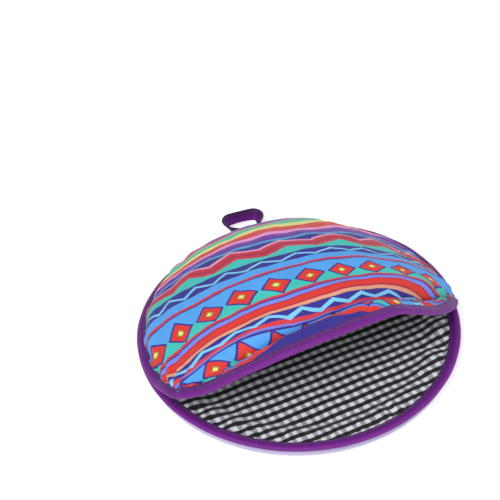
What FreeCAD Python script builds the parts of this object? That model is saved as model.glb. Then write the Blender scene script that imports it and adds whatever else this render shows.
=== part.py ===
import FreeCAD, Part
import math
import os

# Round tortilla warmer: a quilted cloth pouch, opened.
# The origin is the centre of the face that it rests on. +Z is up, the mouth looks towards -Y,
# and the hanging loop is at the back, +Y. All sizes are in millimetres.

V = FreeCAD.Vector

# Overall plan
panel_radius = 152.4
back_pull_depth = 11.0
back_drop_height = 8.5
mouth_half_angle = 70.0

# Thickness of the layers
cloth_thickness = 0.7
wadding_thickness = 5.0
lining_thickness = 0.6
layer_gap = 0.12
mid_level = 0.5

# Bias tape folded over the raw edges
tape_thickness = 0.9
tape_fold_width = 10.5
bound_thickness = 2.8
tape_gap = 0.2
edge_setback_depth = 1.2
mouth_room_length = 1.2
run_in_length = 5.0
tuck_share = 0.6
bend_share = 0.55
nose_share = 0.5
nose_setback = 0.25
corner_press = 0.35
corner_points = 2

# Lower panel, a shallow dish
rim_reach = 26.4
lower_rim_height = 15.5
lower_rim_tilt = 24.0
belly_reach = 13.4
belly_height = 1.6
flat_inset = 8.0
belly_inset = 9.0
belly_share = 0.3

# Upper panel, a hood hinged on the line between the mouth corners
hinge_clearance = 0.6
lip_angle = 56.0
lip_brim_depth = 16.0
lip_brim_drop_height = 2.5
valley_reach = 36.0
valley_height = 71.0
fold_ahead_length = 8.0
fold_start_height = 74.0
crown_height = 75.5
crown_back_length = 44.0
back_tilt = 34.0
shoulder_back_length = 46.0
shoulder_height = 63.0
waist_height = 44.0
hem_length = 14.0
corner_radius = 14.0
fold_gap = 0.3
seam_gap = 0.2
normal_step = 1.0

# Hanging loop
loop_angle = 173.0
loop_width = 38.0
loop_reach = 25.0
loop_bend_radius = 10.0
loop_tape_width = 10.0
loop_tape_thickness = 1.6
loop_root_spread = 12.0
loop_root_length = 8.5
loop_clearance = 0.3

# Sampling of the curved cloths
ring_points = 8
arch_points = 9
profile_rings = 5
dense_arches = 12
flap_arches = 5
band_arches = 3
back_arches = 5

rim_half = bound_thickness / 2
tape_half = rim_half + tape_gap + tape_thickness
bound_radius = panel_radius - tape_fold_width - mouth_room_length
flat_radius = panel_radius - rim_reach
belly_radius = panel_radius - belly_reach


def polar(radius, angle, height):
    """Point in plan; the angle is in degrees from the front middle, positive towards +X."""
    a = math.radians(angle)
    return V(radius * math.sin(a), -radius * math.cos(a), height)


def back_share(angle):
    """0 at the front, rising to 1 at the back middle, where the seam pulls the rim in and down."""
    return ((1 - math.cos(math.radians(angle))) / 2) ** 3


def pulled(point):
    """Draw a point of the round pattern in towards the shape that the sewn back gives it."""
    share = back_share(math.degrees(math.atan2(point.x, -point.y)))
    weight = share * (math.hypot(point.x, point.y) / panel_radius) ** 2
    scale = 1 - back_pull_depth / panel_radius * weight
    return V(point.x * scale, point.y * scale, point.z - back_drop_height * weight)


def closed_curve(points):
    curve = Part.BSplineCurve()
    curve.interpolate(list(points), True)
    return curve.toShape()


def edge_through(points):
    curve = Part.BSplineCurve()
    curve.interpolate(list(points))
    return curve.toShape()


def ring(radius, height, lift):
    """Closed curve round the panel. What is lifted, from 0 to 1, drops at the back."""
    points = []
    for i in range(ring_points):
        angle = 360.0 * i / ring_points
        share = back_share(angle)
        pull = back_pull_depth * share * min(1, radius / bound_radius) ** 2
        points.append(polar(radius - pull, angle, height - back_drop_height * share * lift))
    return Part.Wire(closed_curve(points))


def solid_of(faces):
    """Sew faces into one closed solid that is not inside out."""
    shell = Part.makeShell(faces)
    shell.sewShape()
    solid = Part.makeSolid(Part.Shell(shell.Faces))
    if solid.Volume < 0:
        solid.reverse()
    return solid


def smooth(points, count):
    """Evenly spaced points on a smooth curve through the given ones."""
    curve = Part.BSplineCurve()
    curve.interpolate(points)
    return curve.discretize(Number=count)


def ruled(first, second):
    return Part.makeRuledSurface(first, second)


# Lower panel: each boundary between layers is a surface from the centre to the bound edge
tilt = math.radians(lower_rim_tilt)
rim_in = (-math.cos(tilt), -math.sin(tilt))
rim_up = (-math.sin(tilt), math.cos(tilt))
lower_stack = cloth_thickness + wadding_thickness + lining_thickness + 2 * layer_gap


def rim_spot(inward, offset):
    """Radius and height of a point in the lower tape, from its folded edge and its middle."""
    radius = panel_radius + inward * rim_in[0] + offset * rim_up[0]
    return radius, lower_rim_height + inward * rim_in[1] + offset * rim_up[1]


def lower_profile(level):
    """Rings, from the flat middle out, of a surface at a level from 0 (below) to 1 (above)."""
    base = level * lower_stack
    mouth = rim_spot(tape_fold_width + mouth_room_length, bound_thickness * (level - mid_level))
    edge = rim_spot(edge_setback_depth + tape_thickness, bound_thickness * (level - mid_level))
    flat = flat_radius - flat_inset * level
    belly = belly_radius - belly_inset * level
    belly_rise = belly_height + (mouth[1] - base) * belly_share * level
    spots = [V(flat, 0, 0), V(belly, 0, belly_rise), V(mouth[0], 0, mouth[1] - base)]
    spots = smooth(spots, profile_rings - 2) + [V(edge[0], 0, edge[1] - base)]
    lift = mouth[1] - base
    return [ring(p.x, base + p.z, min(1, p.z / lift)) for p in spots]


def lower_layer(under, over):
    """Solid between two levels of the lower panel."""
    low = lower_profile(under)
    high = lower_profile(over)
    faces = [Part.Face(low[0]), Part.Face(high[0])]
    for rings in (low, high, [low[-1], high[-1]]):
        faces += Part.makeLoft(rings, False, True).Faces
    return solid_of(faces)


def u_section(place, inward, upward, width=tape_fold_width):
    """Corners of tape folded round an edge; place is the outer fold."""
    inner = rim_half + tape_gap
    bend = tape_half * bend_share
    round_off = tape_half * nose_share
    spots = [(width, tape_half), (bend, tape_half), (nose_setback, round_off), (nose_setback, -round_off)]
    spots += [(bend, -tape_half), (width, -tape_half), (width, -inner)]
    spots += [(tape_thickness, -inner), (tape_thickness, inner), (width, inner)]
    return [place + inward * a + upward * b for a, b in spots]


def folded_tape(frames, closed):
    """Tape along a row of frames, each a place with its inward and upward directions."""
    sections = [u_section(*frame) for frame in frames]
    lines = []
    for corner in zip(*sections):
        lines.append(closed_curve(corner) if closed else edge_through(corner))
    faces = []
    for first, second in zip(lines, lines[1:] + lines[:1]):
        faces.append(ruled(first, second))
    if not closed:
        for section in (sections[0], sections[-1]):
            faces.append(Part.makeFilledFace(Part.makePolygon(section + section[:1]).Edges))
    return solid_of(faces)


def lower_frames():
    """Frames of the tape all the way round the lower panel."""
    frames = []
    for i in range(ring_points):
        angle = 360.0 * i / ring_points
        share = back_share(angle)
        scale = 1 - back_pull_depth / panel_radius * share
        place = polar(panel_radius * scale, angle, lower_rim_height - back_drop_height * share)
        out = polar(1, angle, 0)
        inward = out * rim_in[0] + V(0, 0, rim_in[1])
        upward = out * rim_up[0] + V(0, 0, rim_up[1])
        frames.append((place, inward, upward))
    return frames


# Upper panel: every arch lies in a plane through the hinge line and ends beside a mouth corner
half_chord = panel_radius * math.sin(math.radians(mouth_half_angle))
hinge_y = -panel_radius * math.cos(math.radians(mouth_half_angle))
hinge_z = lower_rim_height + 2 * tape_half + hinge_clearance
upper_stack = lower_stack


def hood_profile():
    """Middle line of the hood from the lip over the crown to the back seam, as y and z."""
    lip = math.radians(lip_angle)
    reach = panel_radius + hinge_y
    lip_y = hinge_y - reach * math.cos(lip)
    lip_z = hinge_z + reach * math.sin(lip)
    seam = math.radians(back_tilt)
    back_y = panel_radius
    back_z = hinge_z + seam_gap
    spots = [V(0, lip_y, lip_z), V(0, lip_y + lip_brim_depth, lip_z - lip_brim_drop_height)]
    spots.append(V(0, lip_y + valley_reach, hinge_z + valley_height))
    spots.append(V(0, hinge_y - fold_ahead_length, hinge_z + fold_start_height))
    spots.append(V(0, hinge_y + crown_back_length, hinge_z + crown_height))
    spots.append(V(0, hinge_y + crown_back_length + shoulder_back_length, hinge_z + shoulder_height))
    spots.append(V(0, hinge_y + crown_back_length + 2 * shoulder_back_length, hinge_z + waist_height))
    run = hem_length * math.cos(seam)
    spots.append(V(0, back_y - run, back_z + hem_length * math.sin(seam)))
    spots.append(V(0, back_y, back_z))
    return spots


def arch_at(spot):
    """Points of the arch whose middle is at spot, in its plane through the hinge line."""
    out = V(0, spot.y - hinge_y, spot.z - hinge_z)
    sag = out.Length
    out.normalize()
    radius = (half_chord ** 2 + sag ** 2) / (2 * sag)
    sweep = math.acos((radius - sag + corner_radius) / radius)
    points = []
    for i in range(arch_points):
        angle = sweep * (2.0 * i / (arch_points - 1) - 1)
        rise = radius * math.cos(angle) - (radius - sag)
        points.append(V(radius * math.sin(angle), hinge_y, hinge_z) + out * rise)
    return [pulled(p) for p in points]


profile = Part.BSplineCurve()
profile.interpolate(hood_profile())
profile_length = profile.length()


def distance_to(y, z):
    """Distance along the hood's middle line from the lip to a spot on it."""
    end = profile.parameter(V(0, y, z))
    return profile.length(profile.FirstParameter, end)


def arch(distance):
    """Points of the arch at a distance from the lip along the hood's middle line."""
    return arch_at(profile.value(profile.parameterAtDistance(distance)))


def arches(start, end, count):
    """Arches evenly spaced along the hood's middle line."""
    return [arch(start + (end - start) * i / (count - 1)) for i in range(count)]


def along_row(row, j):
    return (row[min(j + 1, arch_points - 1)] - row[max(j - 1, 0)]).normalize()


def normals(grid):
    """Unit normal at each point of a grid of arches."""
    result = []
    for i, row in enumerate(grid):
        ahead = grid[min(i + 1, len(grid) - 1)]
        behind = grid[max(i - 1, 0)]
        result.append([along_row(row, j).cross(ahead[j] - behind[j]).normalize() for j in range(arch_points)])
    return result


def seam_line(distance):
    """Arch where two pieces of the hood meet, with its normals and its directions to the back."""
    row, backward, outward = arch(distance), [], []
    near, far = arch(distance - normal_step), arch(distance + normal_step)
    for j in range(arch_points):
        along = along_row(row, j)
        step = far[j] - near[j]
        backward.append((step - along * step.dot(along)).normalize())
        outward.append(along.cross(backward[j]))
    return row, outward, backward


def edge_frames(row, beyond):
    """Place, inward and outward directions of folded tape along a row of points."""
    frames = []
    for j in range(arch_points):
        along = along_row(row, j)
        inward = beyond[j] - row[j]
        inward = (inward - along * inward.dot(along)).normalize()
        outward = along.cross(inward).normalize()
        if outward.z < 0:
            outward = outward * -1
        frames.append((row[j], inward, outward))
    return frames


def bound_piece(rows, count):
    """Grid of a piece whose first row is a taped edge, with its normals and the tape's frames."""
    frames = edge_frames(rows[0], rows[2])
    tape = []
    columns = []
    for j in range(arch_points):
        place, inward, outward = frames[j]
        curve = Part.BSplineCurve()
        curve.interpolate([row[j] for row in rows])
        length = curve.length()
        width = min(tape_fold_width, tuck_share * length)
        tape.append((place, inward, outward, width))
        start = width * (1 + mouth_room_length / tape_fold_width)
        column = [place + inward * in_tape, place + inward * start]
        start += run_in_length * width / tape_fold_width
        for i in range(count):
            along = start + (length - start) * i / (count - 1)
            column.append(curve.value(curve.parameterAtDistance(min(along, length))))
        columns.append(column)
    grid = [list(row) for row in zip(*columns)]
    outward = [frame[2] for frame in frames]
    inner = normals(grid[2:])
    if inner[0][arch_points // 2].dot(outward[arch_points // 2]) < 0:
        inner = [[n * -1 for n in row] for row in inner]
    return grid, [outward, outward] + inner, tape


def hood_layer(grid, normal, thickness, under, over):
    """Solid between two levels of a piece of the hood, from 0 (inside) to 1 (outside)."""
    def face_rows(level):
        rows = []
        for i, row in enumerate(grid):
            heights = [thick * (level - mid_level) for thick in thickness[i]]
            rows.append([p + n * h for p, n, h in zip(row, normal[i], heights)])
        return rows
    low = face_rows(under)
    high = face_rows(over)
    low_edges = [edge_through(row) for row in low]
    high_edges = [edge_through(row) for row in high]
    faces = [ruled(low_edges[0], high_edges[0]), ruled(low_edges[-1], high_edges[-1])]
    for i in range(len(grid) - 1):
        faces.append(ruled(low_edges[i], low_edges[i + 1]))
        faces.append(ruled(high_edges[i], high_edges[i + 1]))
        for end in (0, -1):
            inner = Part.makeLine(low[i][end], low[i + 1][end])
            outer = Part.makeLine(high[i][end], high[i + 1][end])
            faces.append(ruled(inner, outer))
    return solid_of(faces)


def side_share(j):
    """0 in a mouth corner, 1 from a short way in."""
    from_end = min(j, arch_points - 1 - j)
    return min(1.0, corner_press + from_end / corner_points)


def thickness_rows(grid, bound_rows):
    """The layers are pressed thin in the tape and in the corners."""
    rows = []
    for i in range(len(grid)):
        pressed = i in bound_rows
        line = []
        for j in range(arch_points):
            full = bound_thickness + (upper_stack - bound_thickness) * side_share(j)
            line.append(bound_thickness if pressed else full)
        rows.append(line)
    return rows


def save_layers(prefix, grid, normal, thickness):
    """The three cloths of one piece of the hood, the lining inside and the print outside."""
    inside = lining_thickness / upper_stack
    gap = layer_gap / upper_stack
    outside = 1 - cloth_thickness / upper_stack
    save(prefix + "_lining", hood_layer(grid, normal, thickness, 0.0, inside))
    save(prefix + "_wadding", hood_layer(grid, normal, thickness, inside + gap, outside - gap))
    save(prefix + "_cloth", hood_layer(grid, normal, thickness, outside, 1.0))


def save(name, shape):
    shape.exportStep("parts/" + name + ".step")
    print(name, "solids", len(shape.Solids), "volume", round(shape.Volume, 1), "valid", shape.isValid())


os.makedirs("parts", exist_ok=True)
level_1 = cloth_thickness / lower_stack
level_2 = level_1 + layer_gap / lower_stack
level_3 = level_2 + wadding_thickness / lower_stack
level_4 = level_3 + layer_gap / lower_stack
save("lower_outer_cloth", lower_layer(0.0, level_1))
save("lower_wadding", lower_layer(level_2, level_3))
save("lower_lining", lower_layer(level_4, 1.0))
save("lower_binding", folded_tape(lower_frames(), True))

fold_start = distance_to(hinge_y - fold_ahead_length, hinge_z + fold_start_height)
fold_end = distance_to(hinge_y + crown_back_length, hinge_z + crown_height)
in_tape = edge_setback_depth + tape_thickness

front_row, front_normal, front_backward = seam_line(fold_start)
back_row, back_normal, back_backward = seam_line(fold_end)

# The flap, from the bound lip to the fold
grid, normal, tape = bound_piece(arches(0, fold_start, dense_arches), flap_arches)
normal[-1] = front_normal
save_layers("flap", grid, normal, thickness_rows(grid, (0, 1)))
save("flap_binding", folded_tape(tape, False))

# The strip that bends lies a gap away from both of its neighbours
grid = arches(fold_start, fold_end, band_arches)
normal = [front_normal] + normals(grid)[1:-1] + [back_normal]
grid[0] = [p + b * fold_gap for p, b in zip(front_row, front_backward)]
grid[-1] = [p - b * fold_gap for p, b in zip(back_row, back_backward)]
save_layers("fold_band", grid, normal, thickness_rows(grid, ()))

# The back, from the bound seam to the fold
grid, normal, tape = bound_piece(arches(profile_length, fold_end, dense_arches), back_arches)
normal[-1] = back_normal
save_layers("upper_back", grid, normal, thickness_rows(grid, (0, 1)))
save("upper_back_binding", folded_tape(tape, False))

# Hanging loop: a tape on edge, bent to a drop, its two ends caught in the back seam
loop_share = back_share(loop_angle)
seam_tilt = math.radians(back_tilt)
seam_bulge = tape_half * math.sin(seam_tilt)
loop_base = panel_radius - back_pull_depth * loop_share + seam_bulge + loop_clearance
loop_height = (lower_rim_height + hinge_z + seam_gap) / 2 - back_drop_height * loop_share


def loop_path():
    """Half of the loop in plan: a leg, a round corner and the middle. x is across, y is outwards."""
    bend = loop_bend_radius - loop_tape_thickness / 2
    centre = V(loop_width / 2 - loop_bend_radius, loop_reach - loop_bend_radius, 0)
    start = V(loop_root_spread / 2, 0, 0)
    to_centre = centre - start
    lean = math.degrees(math.asin(bend / to_centre.Length))
    leg = math.sqrt(to_centre.Length ** 2 - bend ** 2)
    direction = FreeCAD.Rotation(V(0, 0, 1), -lean).multVec(to_centre).normalize()
    diagonal = V(1, 1, 0).normalize()
    return start, start + direction * leg, centre + diagonal * bend, centre + V(0, bend, 0)


def strip(path, low_start):
    """Tape on edge along a path in plan."""
    start, direction = low_start
    side = direction.cross(V(0, 0, 1)).normalize() * (loop_tape_thickness / 2)
    half = V(0, 0, loop_tape_width / 2)
    corners = [start + side - half, start + side + half, start - side + half, start - side - half]
    section = Part.makePolygon(corners + [corners[0]])
    return path.makePipeShell([section], True, False)


def mirrored(point):
    return V(-point.x, point.y, point.z)


def placed(shape):
    """Set the loop on the rim; its own y runs outwards."""
    turn = FreeCAD.Rotation(V(0, 0, 1), loop_angle - 180)
    out = polar(loop_base, loop_angle, loop_height)
    shape.Placement = FreeCAD.Placement(out, turn)
    return shape


root_end, touch, corner, middle = loop_path()
leg_direction = (touch - root_end).normalize()
leg_start = root_end + leg_direction * (loop_root_length + fold_gap)
drop = [
    Part.makeLine(leg_start, touch),
    Part.Arc(touch, corner, middle).toShape(),
    Part.makeLine(middle, mirrored(middle)),
    Part.Arc(mirrored(middle), mirrored(corner), mirrored(touch)).toShape(),
    Part.makeLine(mirrored(touch), mirrored(leg_start)),
]
save("hanging_loop", placed(strip(Part.Wire(drop), (leg_start, leg_direction))))
roots = []
for place in (root_end, mirrored(root_end)):
    lean = leg_direction if place.x > 0 else mirrored(leg_direction)
    stub = Part.Wire(Part.makeLine(place, place + lean * loop_root_length))
    roots.append(strip(stub, (place, lean)))
save("loop_roots", placed(Part.makeCompound(roots)))
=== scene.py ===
import math

import bmesh
import bpy
import numpy as np
from mathutils import Matrix, Vector, noise


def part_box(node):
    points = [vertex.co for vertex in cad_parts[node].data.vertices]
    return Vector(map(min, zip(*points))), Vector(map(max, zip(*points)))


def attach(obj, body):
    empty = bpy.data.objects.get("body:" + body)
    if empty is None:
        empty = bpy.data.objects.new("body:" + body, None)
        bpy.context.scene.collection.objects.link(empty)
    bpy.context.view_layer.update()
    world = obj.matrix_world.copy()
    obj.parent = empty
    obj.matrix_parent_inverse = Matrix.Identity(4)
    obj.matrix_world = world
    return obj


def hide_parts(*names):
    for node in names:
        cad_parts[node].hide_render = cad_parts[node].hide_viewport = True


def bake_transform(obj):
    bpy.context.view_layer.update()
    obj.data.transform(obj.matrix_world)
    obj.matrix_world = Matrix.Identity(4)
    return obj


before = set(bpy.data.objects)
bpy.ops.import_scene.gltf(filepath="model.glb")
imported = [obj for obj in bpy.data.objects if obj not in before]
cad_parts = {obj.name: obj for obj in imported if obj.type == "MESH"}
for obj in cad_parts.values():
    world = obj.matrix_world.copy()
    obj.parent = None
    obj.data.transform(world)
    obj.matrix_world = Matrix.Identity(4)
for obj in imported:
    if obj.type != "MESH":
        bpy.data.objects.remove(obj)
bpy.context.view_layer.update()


# Lower outer cloth: the lavender poplin disc that the pouch lies on.
# It is cut round, laid under the wadding and caught in the bias tape, and it bellies out below
# the tape all round because the quilt above it is drawn in by the tape.
MM = 0.001
PANEL_RADIUS = 152.4
TAPE_WIDTH = 10.5
BOUND_HALF = 1.4
BOUND_DEPTH = 11.7
EDGE_SETBACK = 2.1
RIM_HEIGHT = 15.5
RIM_TILT = math.radians(24)
BACK_PULL = 11.0
BACK_DROP = 8.5
CLOTH = 0.7


def back_share(angle):
    """0 at the front and 1 at the back middle, where the seam draws the rim in and down."""
    return ((1 - np.cos(angle)) / 2) ** 3


def rim_spot(inward, offset):
    """Radius and height of a spot in the lower tape, from its folded edge and its middle."""
    radius = PANEL_RADIUS - inward * math.cos(RIM_TILT) - offset * math.sin(RIM_TILT)
    return radius, RIM_HEIGHT - inward * math.sin(RIM_TILT) + offset * math.cos(RIM_TILT)


def eased(value):
    """0 below 0, 1 above 1 and a smooth step between."""
    value = np.clip(value, 0, 1)
    return value * value * (3 - 2 * value)


def run_along(row):
    """Distance along a row of points from its first one to each of them."""
    return np.concatenate([[0], np.cumsum(np.linalg.norm(np.diff(row, axis=0), axis=1))])


def points_at(distances, run, row):
    """Points of a row at these distances along it. run is the distance of each of its own points."""
    return np.stack([np.interp(distances, run, column) for column in row.T], axis=1)


def line_through(spots, count):
    """Evenly spaced points on a natural cubic curve through a few spots."""
    spots = np.array(spots, float)
    knots = run_along(spots)
    gaps = np.diff(knots)
    size = len(spots)
    system = np.eye(size)
    bends = np.zeros_like(spots)
    for i in range(1, size - 1):
        system[i, i - 1:i + 2] = gaps[i - 1], 2 * (gaps[i - 1] + gaps[i]), gaps[i]
        slope = np.diff(spots[i - 1:i + 2], axis=0) / gaps[i - 1:i + 1, None]
        bends[i] = 6 * (slope[1] - slope[0])
    bends = np.linalg.solve(system, bends)
    at = np.linspace(0, knots[-1], 40 * size)
    i = np.clip(np.searchsorted(knots, at) - 1, 0, size - 2)
    gap = gaps[i][:, None]
    left = (knots[i + 1] - at)[:, None] / gap
    right = 1 - left
    dense = left * spots[i] + right * spots[i + 1]
    dense += ((left ** 3 - left) * bends[i] + (right ** 3 - right) * bends[i + 1]) * gap ** 2 / 6
    run = run_along(dense)
    return points_at(np.linspace(0, run[-1], count), run, dense)


def ripple(x, y, size, seed):
    """Smooth noise from -1 to 1 at each spot, with features of about this size in mm."""
    spots = zip(np.ravel(x) / size, np.ravel(y) / size)
    return np.array([noise.noise(Vector((a, b, seed))) for a, b in spots])


def grid(columns, rows):
    """A flat grid of faces, with the column and the row of each of its vertices."""
    bm = bmesh.new()
    bmesh.ops.create_grid(bm, x_segments=columns, y_segments=rows, size=1)
    cells = np.array([v.co for v in bm.verts])
    column = np.rint((cells[:, 0] + 1) / 2 * columns).astype(int)
    row = np.rint((cells[:, 1] + 1) / 2 * rows).astype(int)
    return bm, column, row


def finished(name, bm, places, **maps):
    """Lay the vertices at their places in mm, give each map its flat cloth spots and close the seams."""
    for vert, place in zip(bm.verts, places * MM):
        vert.co = place
    bm.verts.index_update()
    for face in bm.faces:
        face.smooth = True
    for key, spots in maps.items():
        layer = bm.loops.layers.uv.new(key)
        for face in bm.faces:
            for corner in face.loops:
                corner[layer].uv = spots[corner.vert.index]
    bmesh.ops.remove_doubles(bm, verts=bm.verts, dist=MM / 1000)
    if bm.calc_volume(signed=True) < 0:
        bmesh.ops.reverse_faces(bm, faces=bm.faces)
    mesh = bpy.data.meshes.new(name)
    bm.to_mesh(mesh)
    bm.free()
    piece = bpy.data.objects.new(name, mesh)
    bpy.context.scene.collection.objects.link(piece)
    return piece


def round_spots(radius, angle):
    """Spots in plan at a radius and an angle, which is 0 at the front and grows to the right."""
    return np.stack([radius * np.sin(angle), -radius * np.cos(angle)], axis=1)


def spun(name, line, steps, shape):
    """A line of (radius, height) turned about the middle, then set in place by shape."""
    bm, column, row = grid(steps, len(line) - 1)
    radius, height = np.array(line, float)[row].T
    turn = column / steps * math.tau
    places, flat = shape(np.column_stack([round_spots(radius, turn), height]))
    return finished(name, bm, places, cloth_mm=flat)


def panel_place(spots, base, lip):
    """Draw the back of the round lower panel in and down. base is its flat height, lip its rim's."""
    radius = np.hypot(spots[:, 0], spots[:, 1])
    angle = np.arctan2(spots[:, 0], -spots[:, 1])
    share = back_share(angle)
    inner = PANEL_RADIUS - BOUND_DEPTH
    new_radius = radius - BACK_PULL * share * np.minimum(1, radius / inner) ** 2
    lift = np.clip((spots[:, 2] - base) / (lip - base), 0, 1)
    height = spots[:, 2] - BACK_DROP * share * lift
    return radius, angle, np.column_stack([round_spots(new_radius, angle), height])


def add(tree, kind, feeds=None, **settings):
    """Add a node, set its properties and feed its sockets with values or with other sockets."""
    node = tree.nodes.new(kind)
    for key, value in settings.items():
        setattr(node, key, value)
    for key, value in (feeds or {}).items():
        if isinstance(value, bpy.types.NodeSocket):
            tree.links.new(value, node.inputs[key])
        else:
            node.inputs[key].default_value = value
    return node


def colour(code):
    """Linear colour of an sRGB hex code."""
    parts = [int(code[i:i + 2], 16) / 255 for i in (1, 3, 5)]
    return tuple(c / 12.92 if c <= 0.04045 else ((c + 0.055) / 1.055) ** 2.4 for c in parts) + (1,)


SLUB_SIZE = 1.11
PATCH_SIZE = 28.6


def woven(name, thread, roughness, sheen, relief, paint):
    """Cloth whose colour comes from paint. thread is the thread spacing in mm, relief its bump.
    Slubs in the yarn and slightly paler patches are drawn by their sizes in mm too."""
    material = bpy.data.materials.new(name)
    material.use_nodes = True
    tree = material.node_tree
    shader = tree.nodes["Principled BSDF"]
    shader.inputs["Roughness"].default_value = roughness
    shader.inputs["Sheen Weight"].default_value = sheen
    shader.inputs["Sheen Roughness"].default_value = 0.45
    shader.inputs["Specular IOR Level"].default_value = 0.3
    spot = add(tree, "ShaderNodeUVMap", uv_map="cloth_mm").outputs["UV"]
    split = add(tree, "ShaderNodeSeparateXYZ", {"Vector": spot})
    turn = math.pi / thread
    waves = []
    for axis in ("X", "Y"):
        scaled = add(tree, "ShaderNodeMath", {0: split.outputs[axis], 1: turn}, operation="MULTIPLY")
        wave = add(tree, "ShaderNodeMath", {0: scaled.outputs[0]}, operation="SINE")
        waves.append(add(tree, "ShaderNodeMath", {0: wave.outputs[0]}, operation="ABSOLUTE").outputs[0])
    weave = add(tree, "ShaderNodeMath", {0: waves[0], 1: waves[1]}, operation="MAXIMUM").outputs[0]
    slub = add(tree, "ShaderNodeTexNoise", {"Vector": spot, "Scale": 1 / SLUB_SIZE, "Detail": 3.0})
    cloth = add(tree, "ShaderNodeMath", {0: weave, 1: slub.outputs["Fac"]}, operation="ADD").outputs[0]
    bump = add(tree, "ShaderNodeBump", {"Strength": relief, "Distance": 0.0002, "Height": cloth})
    patch = add(tree, "ShaderNodeTexNoise", {"Vector": spot, "Scale": 1 / PATCH_SIZE, "Detail": 4.0})
    shade = add(tree, "ShaderNodeMapRange", {"Value": patch.outputs["Fac"], "From Min": 0.3,
                                              "From Max": 0.7, "To Min": 0.93,
                                              "To Max": 1.05}).outputs["Result"]
    fine = add(tree, "ShaderNodeMapRange", {"Value": weave, "From Min": 0.4, "From Max": 1.0,
                                             "To Min": 0.93, "To Max": 1.02}).outputs["Result"]
    level = add(tree, "ShaderNodeMath", {0: shade, 1: fine}, operation="MULTIPLY").outputs[0]
    tone = add(tree, "ShaderNodeVectorMath", {0: paint(tree, spot), 3: level}, operation="SCALE")
    tree.links.new(tone.outputs[0], shader.inputs["Base Color"])
    tree.links.new(bump.outputs["Normal"], shader.inputs["Normal"])
    return material


DRIFT_SIZE = 20.0


def plain(code, second):
    """Paint of one dyed colour that drifts a little towards a second one."""
    def paint(tree, spot):
        drift = add(tree, "ShaderNodeTexNoise", {"Vector": spot, "Scale": 1 / DRIFT_SIZE, "Detail": 3.0})
        mixed = add(tree, "ShaderNodeMix", {0: drift.outputs["Fac"], 6: colour(code), 7: colour(second)},
                    data_type="RGBA")
        return mixed.outputs[2]
    return paint


BELLY_RADIUS = 149.2
BELLY_HEIGHT = 4.8
FLAT_RADIUS = 126.0
GATHERS = 46
GATHER_START = 118.0
GATHER_END = 151.0
GATHER_HEIGHT = 0.5
DENT_HEIGHT = 0.6
CLOTH_STEPS = 320


def lower_cloth_shape(spots):
    """The disc in place, with the small gathers and dents that the tape draws into its belly."""
    radius, angle, places = panel_place(spots, 0, rim_spot(BOUND_DEPTH, 0)[1])
    near = eased((radius - GATHER_START) / 20) * eased((GATHER_END - radius) / 8)
    gather = np.sin(angle * GATHERS + 2.0 * ripple(np.sin(angle) * 60, np.cos(angle) * 60, 20, 3.1))
    push = near * (GATHER_HEIGHT * gather + DENT_HEIGHT * ripple(places[:, 0], places[:, 1], 24, 7.7))
    places[:, :2] += round_spots(push, angle)
    return places, round_spots(radius, angle)


outer_line = line_through([(FLAT_RADIUS - 6, 0), (FLAT_RADIUS + 8, 0.1), (BELLY_RADIUS - 5, 1.4),
                           (BELLY_RADIUS, BELLY_HEIGHT), (BELLY_RADIUS - 2.4, 7.8),
                           rim_spot(BOUND_DEPTH, -BOUND_HALF)], 22)
cloth_line = [(0, 0), (30, 0), (60, 0), (90, 0)] + [tuple(spot) for spot in outer_line]
cloth_line.append(rim_spot(EDGE_SETBACK, -BOUND_HALF))
cloth_line.append(rim_spot(EDGE_SETBACK, -BOUND_HALF + CLOTH))
inner_line = line_through([(FLAT_RADIUS - 6, CLOTH), (FLAT_RADIUS + 8, CLOTH + 0.1),
                           (BELLY_RADIUS - 5.6, 2.1), (BELLY_RADIUS - CLOTH, BELLY_HEIGHT + 0.1),
                           (BELLY_RADIUS - 3.2, 7.5), rim_spot(BOUND_DEPTH + 0.4, -BOUND_HALF + CLOTH)], 22)
cloth_line += [tuple(spot) for spot in inner_line[::-1]]
cloth_line += [(90, CLOTH), (60, CLOTH), (30, CLOTH), (0, CLOTH)]
lower_cloth = spun("lower_cloth", cloth_line, CLOTH_STEPS, lower_cloth_shape)
# Dyed cotton poplin: matt, with a thread that only shows close up and a pale bloom where it turns away.
lavender_poplin = woven("lavender_poplin", thread=0.8, roughness=0.62, sheen=0.25, relief=0.35,
                        paint=plain("#d2c5ee", "#dcd1f2"))
lower_cloth.data.materials.append(lavender_poplin)
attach(lower_cloth, "root")
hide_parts("lower_outer_cloth")


# Lower lining: a disc of black and white gingham, the side that the stack lies on.
# It is woven with dyed threads in squares, and the bias tape gathers its edge into small
# puckers that run in towards the middle.
LINING = 0.6
STACK = 6.54
CHECK = 4.4
PALE_SHARE = 0.34
DARK_SHARE = 0.66
PUCKER_START = 92.0
PUCKER_END = 144.0
PUCKER_HEIGHT = 2.6
ROLL_RADIUS = 127.0
ROLL_HEIGHT = 1.6
SLACK_HEIGHT = 0.55
CHECK_SHEAR = 4.0
CHECK_DRIFT = 0.8
LINING_STEPS = 480


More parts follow.
